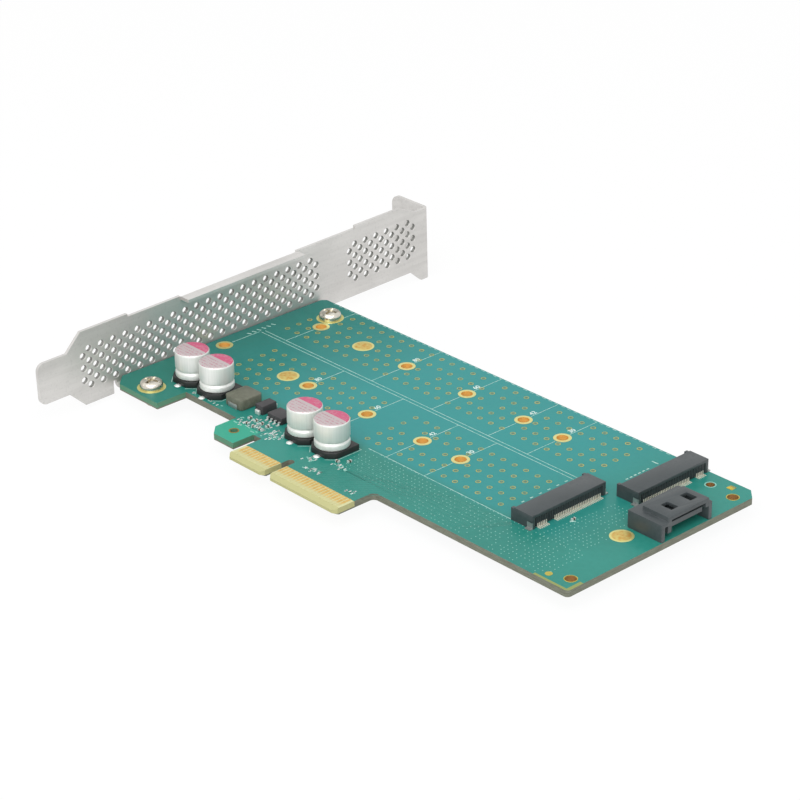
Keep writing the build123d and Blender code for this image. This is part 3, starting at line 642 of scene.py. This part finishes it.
# printed marks: single ones, and columns given by the first mark's ends and the step to the next
marks = dict(size=dict(width=0.34, height=0.02), rows=6,
             single=([(112.6, 63.6), (114.4, 63.6)], [(118.8, 31.8), (119.8, 32.6)]),
             columns=(((106.2, 30.4), (106.2, 31.2), 2.6), ((114.4, 53.4), (114.4, 54.1), 1.3),
                      ((2.2, 42.6), (3.2, 43.1), 1.5)))
markRuns = list(marks["single"])
for start, end, step in marks["columns"]:
    markRuns += [[(x, y + i * step) for x, y in (start, end)] for i in range(marks["rows"])]
linePiece("printedMarks", markRuns, marks["size"], silkWhite)

numbers = dict(size=1.75, extrude=0.01, swell=0.025, back=0.9, side=3.9, longest=110)


def laneNumbers():
    # the module lengths in the built-in font, lying on the board and read along its short side
    work = bmesh.new()
    for stop, y in laneEnds:
        for n in lanes["lengths"]:
            if n == numbers["longest"] and y == lanes["frontY"]:
                continue                   # no room beside the board's edge
            curve = bpy.data.curves.new("laneNumbers", "FONT")
            curve.body = str(n)
            curve.size = numbers["size"] * mm
            curve.extrude = numbers["extrude"] * mm
            curve.offset = numbers["swell"] * mm
            curve.align_x = "CENTER"
            curve.align_y = "CENTER"
            holder = addObject("laneNumbers", curve)
            mesh = evaluated(holder)
            bpy.data.objects.remove(holder)
            place = spot(stop - n - numbers["back"], y + numbers["side"], numbers["extrude"])
            mesh.transform(Matrix.Translation(place) @ Matrix.Rotation(math.radians(90), 4, "Z"))
            work.from_mesh(mesh)
    piece = addObject("laneNumbers", meshFrom(work, "laneNumbers"))
    dress(piece, "solder_mask", printWhite)
    settle(piece)


laneNumbers()

# pairs of tracks run from the fingers, turn at 45 degrees and follow the long edge to the sockets
tracks = dict(size=dict(width=0.13, height=0.008), count=16, x=62.2, step=1.16, start=6.4, straight=7.0,
              level=13.2, pairStep=1.15, inPair=0.34, turn=104.5, turnStep=0.6, rise=5.0, top=22.8)
fan = dict(count=12, y=12.6, step=0.62, left=69.0, leftStep=0.4, right=76.0, rightStep=0.8)
trackRuns = []
for i in range(tracks["count"]):
    shift = (i // 2) * tracks["pairStep"] + (i % 2) * tracks["inPair"]
    x = tracks["x"] + i * tracks["step"]
    level = tracks["level"] + shift
    turn = tracks["turn"] + shift * tracks["turnStep"]
    rise = min(tracks["rise"], tracks["top"] - level)
    bend = x + level - tracks["straight"]
    trackRuns.append([(x, tracks["start"]), (x, tracks["straight"]), (bend, level), (turn, level),
                      (turn + rise, level + rise)])
for i in range(fan["count"]):
    y = fan["y"] + i * fan["step"]
    trackRuns.append([(fan["left"] - i * fan["leftStep"], y), (fan["right"] + i * fan["rightStep"], y)])
linePiece("copperTracks", trackRuns, tracks["size"], trackGreen)


# turned shapes
def skin(work, rings):
    # faces between neighbouring rings, where a ring may be a single point
    count = max(len(ring) for ring in rings)
    for low, high in zip(rings, rings[1:]):
        for i in range(count):
            j = (i + 1) % count
            corners = (low[i % len(low)], low[j % len(low)], high[j % len(high)], high[i % len(high)])
            work.faces.new(list(dict.fromkeys(corners)))


def around(steps):
    return [(math.cos(2 * math.pi * i / steps), math.sin(2 * math.pi * i / steps)) for i in range(steps)]


def lathePiece(name, profile, places, steps, slot, material=None):
    # turns a profile of (radius, height) in millimetres about each place; its ends lie on the axis
    work = bmesh.new()
    for x, y in places:
        rings = []
        for radius, z in profile:
            points = [spot(x + radius * c, y + radius * s, z) for c, s in around(steps if radius else 1)]
            rings.append([work.verts.new(point) for point in points])
        skin(work, rings)
    mesh = meshFrom(work, name)
    layer = mesh.attributes.new("local", "FLOAT_VECTOR", "POINT")
    for i, vertex in enumerate(mesh.vertices):
        card = onCard(vertex.co)
        x, y = min(places, key=lambda p: (p[0] - card[0]) ** 2 + (p[1] - card[1]) ** 2)
        layer.data[i].vector = (card[0] - x, card[1] - y, card[2])
    piece = addObject(name, mesh)
    dress(piece, slot, material)
    return settle(piece, 32)


def arc(cx, cz, radius, start, end, count):
    turns = [math.radians(start + (end - start) * i / count) for i in range(count + 1)]
    return [(cx + radius * math.cos(turn), cz + radius * math.sin(turn)) for turn in turns]


# solid pads: a flat rim and a mound of solder, whose steps are (inward from the rim, height)
pads = dict(sides=48, radius=2.6, edge=0.035, chamfer=0.03, land=0.045, rim=2.15,
            mound=((0.3, 0.09), (0.9, 0.13)), top=0.15)
r = pads["radius"]
profile = [(0, 0.0), (r, 0.0), (r, pads["edge"]), (r - pads["chamfer"], pads["land"])]
profile += [(pads["rim"], pads["land"])] + [(pads["rim"] - inward, z) for inward, z in pads["mound"]]
profile += [(0, pads["top"])]
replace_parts(lathePiece("solderPads", profile, padPlaces, pads["sides"], "gold", padGold), "gold_pads")

# rings: places, sides, outer radius, hole radius, height, finish and slot
rings = dict(
    screwRings=(screwPlaces, 48, 3.3, 1.75, 0.04, padGold, "gold"),
    cornerRings=(cornerPlaces, 32, 1.44, 1.27, 0.04, viaRing, "gold"),
    hookRing=([(39.2, 8.0)], 32, 1.2, 0.9, 0.04, drilled, "gold"),
    guideRing=([guidePlace], 32, 1.3, 1.05, 0.03, stitchPale, "solder_mask"),
)
for name, (places, sides, outer, hole, height, finish, slot) in rings.items():
    size = dict(sides=sides, outer=outer, hole=hole, height=height)
    ringPiece(name, [spot(x, y) for x, y in places], size, finish)

targets = dict(round=(130.8, 13.4), disc=dict(sides=24, radius=0.8, height=0.04),
               square=(132.3, 66.7), bar=dict(width=1.6, height=0.04))
discPiece("roundTarget", [spot(*targets["round"])], targets["disc"], viaRing)
x, y = targets["square"]
half = targets["bar"]["width"] / 2
linePiece("squareTarget", [[(x - half, y), (x + half, y)]], targets["bar"], viaRing)

# capacitor cans; the groove's steps are (up from its middle, depth)
cans = dict(sides=64, radius=4.0, low=1.4, top=7.8, foot=0.35, footSteps=5, shoulder=0.55, shoulderSteps=7,
            grooveZ=3.15,
            groove=((-0.55, 0.0), (-0.38, 0.06), (-0.2, 0.22), (0.0, 0.3), (0.2, 0.22), (0.38, 0.06),
                    (0.55, 0.0)))
r, foot, shoulder = cans["radius"], cans["foot"], cans["shoulder"]
profile = [(0, cans["low"])] + arc(r - foot, cans["low"] + foot, foot, -90, 0, cans["footSteps"])
profile += [(r - depth, cans["grooveZ"] + rise) for rise, depth in cans["groove"]]
profile += arc(r - shoulder, cans["top"] - shoulder, shoulder, 0, 90, cans["shoulderSteps"])
profile += [(0, cans["top"])]
canPiece = lathePiece("capacitorCans", profile, canPlaces, cans["sides"], "can_aluminium")
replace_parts(canPiece, "capacitor_cans")


# bevelled copies of the moulded and cut parts
def mergedCopy(name, node, flat=0):
    # a solid's mesh with merged corners and, up to an angle, joined faces; the import's stored
    # corner normals go, because they would shade new edges wrongly
    mesh = nodes[node].data.copy()
    mesh.name = name
    kept = mesh.attributes.get("custom_normal")
    if kept:
        mesh.attributes.remove(kept)
    work = bmesh.new()
    work.from_mesh(mesh)
    bmesh.ops.remove_doubles(work, verts=work.verts, dist=1e-6)
    if flat:
        bmesh.ops.dissolve_limit(work, angle_limit=math.radians(flat), verts=work.verts, edges=work.edges)
    work.to_mesh(mesh)
    work.free()
    return mesh


bevels = dict(flat=1, corner=30, smooth=50, segments=2)      # angles in degrees


def softened(name, node, width, material=None):
    # a copy of a solid with fine rounded edges
    piece = addObject(name, mergedCopy(name, node, bevels["flat"]))
    bevel = piece.modifiers.new("edges", "BEVEL")
    bevel.width = width * mm
    bevel.segments = bevels["segments"]
    bevel.limit_method = "ANGLE"
    bevel.angle_limit = math.radians(bevels["corner"])
    piece.data = evaluated(piece)
    piece.modifiers.clear()
    dress(piece, slotOf[node], material)
    piece.data.shade_smooth()
    piece.data.set_sharp_from_angle(angle=math.radians(bevels["smooth"]))
    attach(piece, "root")
    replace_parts(piece, node)
    print("made", name, len(piece.data.polygons))


softEdges = {"front_socket_housing": 0.09, "back_socket_housing": 0.09, "data_plug_housing": 0.12,
             "capacitor_bases": 0.12, "coil_body": 0.25, "diode_body": 0.12, "regulator_body": 0.1,
             "capacitor_leads": 0.04, "coil_terminals": 0.03, "diode_terminals": 0.08}
for node, width in softEdges.items():
    softened("soft_" + node, node, width, dullTin if node == "coil_terminals" else None)

# ribs behind every second contact of the sockets, and the legs of the contacts between them
ribs = dict(size=dict(depth=0.5, width=0.2, height=2.1), pins=75, pitch=0.25, x=2.2, z=1.33)
legs = dict(size=dict(depth=0.14, width=0.2, height=0.9), x=2.44, z=0.5,
            keys=((12, 19), (59, 66)))     # the sockets' keys take the place of these contacts
middlePin = (ribs["pins"] + 1) / 2
ribPlaces, legPlaces = [], []
for (stop, middle), (keyFrom, keyTo) in zip(laneEnds, legs["keys"]):
    for pin in range(0, ribs["pins"] + 2, 2):
        ribPlaces.append(spot(stop + ribs["x"], middle + (pin - middlePin) * ribs["pitch"], ribs["z"]))
    for pin in range(1, ribs["pins"] + 1, 2):
        if not keyFrom <= pin <= keyTo:
            legPlaces.append(spot(stop + legs["x"], middle + (pin - middlePin) * ribs["pitch"], legs["z"]))
boxPiece("socketRibs", ribPlaces, ribs["size"], finishes["connector_black"])
boxPiece("contactLegs", legPlaces, legs["size"], finishes["contact_gold"])

# small lands in fields of (left, right, low, high, count)
lands = dict(long=dict(depth=0.55, width=0.3, height=0.05), wide=dict(depth=0.3, width=0.7, height=0.05),
             z=0.02,
             fields=((35.5, 49.0, 10.4, 15.6, 38), (45.5, 49.5, 12.2, 13.6, 6), (59.6, 62.4, 10.0, 12.4, 8),
                     (62.8, 67.4, 7.4, 9.2, 12), (76.6, 79.2, 7.0, 8.4, 5), (66.0, 70.4, 12.6, 14.2, 7),
                     (17.0, 30.0, 13.2, 14.2, 8)))
for kind, finish in (("long", stitchPale), ("wide", finishes["tin"])):
    places = []
    for left, right, low, high, count in lands["fields"]:
        places += [spot(random.uniform(left, right), random.uniform(low, high), lands["z"])
                   for i in range(count)]
    boxPiece(kind + "Lands", places, lands[kind], finish)

# solder beside the cans' leads; its steps are (share of the radius, height)
solder = dict(sides=20, radius=0.85, out=4.55,
              steps=((0, 0.0), (1, 0.0), (0.92, 0.05), (0.7, 0.16), (0.4, 0.28), (0, 0.34)))
profile = [(solder["radius"] * share, z) for share, z in solder["steps"]]
solderPlaces = [(x, y + side * solder["out"]) for x, y in canPlaces for side in (-1, 1)]
lathePiece("solderFillets", profile, solderPlaces, solder["sides"], "tin")

# the bracket's round vents: radius at the side that the photograph shows and at the other one
vents = dict(sides=20, radius=0.8, rear=0.66, flare=0.06, past=0.2, lean=1.15, neckY=-7.5, midZ=5.01,
             faceX=-0.4, sheet=0.8, stepY=1.75, stepZ=1.52, rows=4, fields=((-3.1, 41), (77.8, 13)))
shading = dict(flatFrom=0.98, wallBelow=0.35, largest=2.0, smooth=28)


def ventPlaces():
    turn = Matrix.Rotation(math.radians(vents["lean"]), 3, "X")
    pivot = Vector((0, vents["neckY"], vents["midZ"]))
    places = []
    for firstY, columns in vents["fields"]:
        for column in range(columns):
            count = vents["rows"] - 1 + column % 2
            for row in range(count):
                y = firstY + column * vents["stepY"]
                z = vents["midZ"] + (2 * row - count + 1) * vents["stepZ"]
                middle = Vector((vents["faceX"] - vents["sheet"] / 2, y, z))
                places.append(spot(*(turn @ (middle - pivot) + pivot)))
    return places


def punchTool(name):
    # one round punch along the x axis, narrow at the back and flared at the front
    radius, rear, flare, past = [vents[key] * mm for key in ("radius", "rear", "flare", "past")]
    half = vents["sheet"] * mm / 2
    outline = ((-half - past, rear), (-half + flare, rear), (half - flare, radius),
               (half + past, radius + flare + past))
    work = bmesh.new()
    rings = [[work.verts.new((x, r * c, r * s)) for c, s in around(vents["sides"])] for x, r in outline]
    skin(work, rings)
    work.faces.new(rings[0][::-1])
    work.faces.new(rings[-1])
    bmesh.ops.recalc_face_normals(work, faces=work.faces)
    return meshFrom(work, name)


def bracketPiece():
    places = ventPlaces()
    tool = addObject("punch", punchTool("punch"))
    holder = addObject("ventPoints", pointMesh("ventPoints", places))
    bench = Bench("ventPunchTree", {"scale": 1.0, "material": finishes["bracket_steel"]})
    shape, seeds = [bench.node("GeometryNodeObjectInfo", None, {"Object": source}, output=4)
                    for source in (tool, holder)]
    points = bench.node("GeometryNodeMeshToPoints", None, {0: seeds})
    many = bench.node("GeometryNodeInstanceOnPoints", None,
                      {"Points": points, "Instance": shape, "Scale": bench.size("scale")})
    cutter = bench.node("GeometryNodeRealizeInstances", None, {0: many})
    bench.close(bench.node("GeometryNodeMeshBoolean", {"operation": "DIFFERENCE", "solver": "EXACT"},
                           {0: bench.inlet.outputs[0], 1: cutter}))
    piece = bench.grow("bracketSheet", mergedCopy("bracketSource", "slot_bracket"))
    bpy.data.objects.remove(tool)
    bpy.data.objects.remove(holder)
    # the walls of the vents are cut steel, and the big faces are shaded flat
    holes = kdtree.KDTree(len(places))
    for i, place in enumerate(places):
        holes.insert(place, i)
    holes.balance()
    piece.data.materials.append(cutSteel)
    reach = (vents["radius"] + vents["flare"] / 2) * mm
    for face in piece.data.polygons:
        across = abs(face.normal.x)        # 1 on the sheet's two sides, 0 on cut edges
        face.use_smooth = across < shading["flatFrom"] and face.area < shading["largest"] * mm * mm
        inHole = across < shading["wallBelow"] and holes.find(face.center)[2] < reach
        face.material_index = 1 if inHole else 0
    piece.data.set_sharp_from_angle(angle=math.radians(shading["smooth"]))
    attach(piece, "root")
    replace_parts(piece, "slot_bracket")
    print("made bracketSheet", len(piece.data.polygons))


bracketPiece()

# screws with a cross recess, narrower at its foot
screws = dict(sides=48, shaft=1.45, length=4.3, tip=0.3, tipIn=0.25,
              head=2.7, under=0.04, edge=0.16, edgeIn=0.12, rim=0.75, height=1.9, crown=8, roundness=0.42,
              turns=(18, 108), depth=1.2, past=0.2, slot=0.4, span=1.9, footSlot=0.5, footSpan=0.45,
              topSpan=1.1)


def crossCut():
    work = bmesh.new()
    span, slot = screws["span"], screws["slot"]
    rows = ((screws["height"] - screws["depth"], span * screws["footSpan"], slot * screws["footSlot"]),
            (screws["height"] + screws["past"], span * screws["topSpan"], slot))
    for x, y in screwPlaces:
        for turn in screws["turns"]:
            spin = Matrix.Rotation(math.radians(turn), 3, "Z")
            rings = []
            for z, a, b in rows:
                corners = [spin @ Vector((i * a, j * b, 0)) for i, j in ((-1, -1), (1, -1), (1, 1), (-1, 1))]
                rings.append([work.verts.new(spot(*(corner + Vector((x, y, z))))) for corner in corners])
            skin(work, rings)
            work.faces.new(rings[0][::-1])
            work.faces.new(rings[1])
    bmesh.ops.recalc_face_normals(work, faces=work.faces)
    return meshFrom(work, "crossCut")


def screwPiece():
    head, shaft, low, last = screws["head"], screws["shaft"], -screws["length"], screws["crown"]
    profile = [(0, low), (shaft - screws["tipIn"], low), (shaft, low + screws["tip"])]
    profile += [(shaft, screws["under"]), (head - screws["edgeIn"], screws["under"]), (head, screws["edge"])]
    for i in range(last + 1):
        t = i / last * math.pi / 2
        profile.append((head * math.cos(t) ** screws["roundness"] if i < last else 0,
                        screws["rim"] + (screws["height"] - screws["rim"]) * math.sin(t)))
    piece = lathePiece("bracketScrews", profile, screwPlaces, screws["sides"], "screw_nickel")
    cutter = addObject("crossCut", crossCut())
    cut = piece.modifiers.new("cross", "BOOLEAN")
    cut.object = cutter
    cut.operation = "DIFFERENCE"
    cut.solver = "EXACT"
    cut.use_self = True
    piece.data = evaluated(piece)
    piece.modifiers.clear()
    bpy.data.objects.remove(cutter)
    piece.data.shade_smooth()
    piece.data.set_sharp_from_angle(angle=math.radians(32))
    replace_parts(piece, "bracket_screws")


screwPiece()

# floor, light and camera
stage = dict(floor=3.0, white=tint(250, 250, 250), glow=0.93, sky=0.55,
             key=dict(place=(0.36, -0.52, 0.95), size=1.3, power=12.0),
             fill=dict(place=(0.9, -0.9, 0.5), size=0.9, power=3.0),
             camera=dict(place=(0.38526, -0.36060, 0.27118), turn=47.55, down=26.46, roll=-0.64, lens=119.41,
                         sensor=36.0, near=0.01))


def makeFloor():
    mesh = bpy.data.meshes.new("floor")
    corners = [(i * stage["floor"], j * stage["floor"], 0) for i, j in ((-1, -1), (1, -1), (1, 1), (-1, 1))]
    mesh.from_pydata(corners, [], [(0, 1, 2, 3)])
    floor = addObject("floor", mesh)
    f = Finish("floorWhite", roughness=0.9, specular=0.0)
    f.feed(baseColor=stage["white"])
    glow = f.node("ShaderNodeEmission", None, {"Color": (1.0, 1.0, 1.0, 1.0), "Strength": 1.0})
    path = f.tree.nodes.new("ShaderNodeLightPath")
    rays = ("Is Camera Ray", "Is Glossy Ray", "Is Transmission Ray")
    camera, glossy, clearRay = [Wire(f, path.outputs[ray]) for ray in rays]
    factor = (camera + glossy + clearRay) * stage["glow"]
    blend = f.node("ShaderNodeMixShader", None, {0: factor, 1: Wire(f, f.shader.outputs[0]), 2: glow})
    f.tree.links.new(blend.socket, f.tree.nodes["Material Output"].inputs["Surface"])
    floor.data.materials.append(f.material)
    floor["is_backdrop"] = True


def makeLamp(name, place, size, power):
    lamp = bpy.data.lights.new(name, "AREA")
    lamp.shape = "SQUARE"
    lamp.size = size
    lamp.energy = power
    holder = addObject(name, lamp)
    holder.location = place
    holder.rotation_euler = (-Vector(place)).to_track_quat("-Z", "Y").to_euler()


def makeSky():
    # white where the camera or a reflection sees it, dimmer as a light
    world = bpy.data.worlds.new("sky")
    bpy.context.scene.world = world
    world.use_nodes = True
    tree = world.node_tree
    back = tree.nodes["Background"]
    back.inputs[0].default_value = (1, 1, 1, 1)
    path = tree.nodes.new("ShaderNodeLightPath")
    seen = tree.nodes.new("ShaderNodeMath")
    seen.operation = "MAXIMUM"
    tree.links.new(path.outputs["Is Camera Ray"], seen.inputs[0])
    tree.links.new(path.outputs["Is Glossy Ray"], seen.inputs[1])
    strength = tree.nodes.new("ShaderNodeMapRange")
    strength.inputs["To Min"].default_value = stage["sky"]
    strength.inputs["To Max"].default_value = 1.0
    tree.links.new(seen.outputs[0], strength.inputs["Value"])
    tree.links.new(strength.outputs[0], back.inputs[1])


def makeCamera():
    look = stage["camera"]
    data = bpy.data.cameras.new("camera")
    data.lens = look["lens"]
    data.sensor_width = look["sensor"]
    data.clip_start = look["near"]
    camera = addObject("camera", data)
    turn = (Matrix.Rotation(math.radians(look["turn"]), 4, "Z")
            @ Matrix.Rotation(math.radians(90 - look["down"]), 4, "X")
            @ Matrix.Rotation(math.radians(look["roll"]), 4, "Z"))
    camera.matrix_world = Matrix.Translation(look["place"]) @ turn
    bpy.context.scene.camera = camera


makeFloor()
makeLamp("keyLamp", **stage["key"])
makeLamp("fillLamp", **stage["fill"])
makeSky()
makeCamera()
bpy.context.scene.view_settings.view_transform = "Standard"
print("stage ready")

low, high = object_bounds()
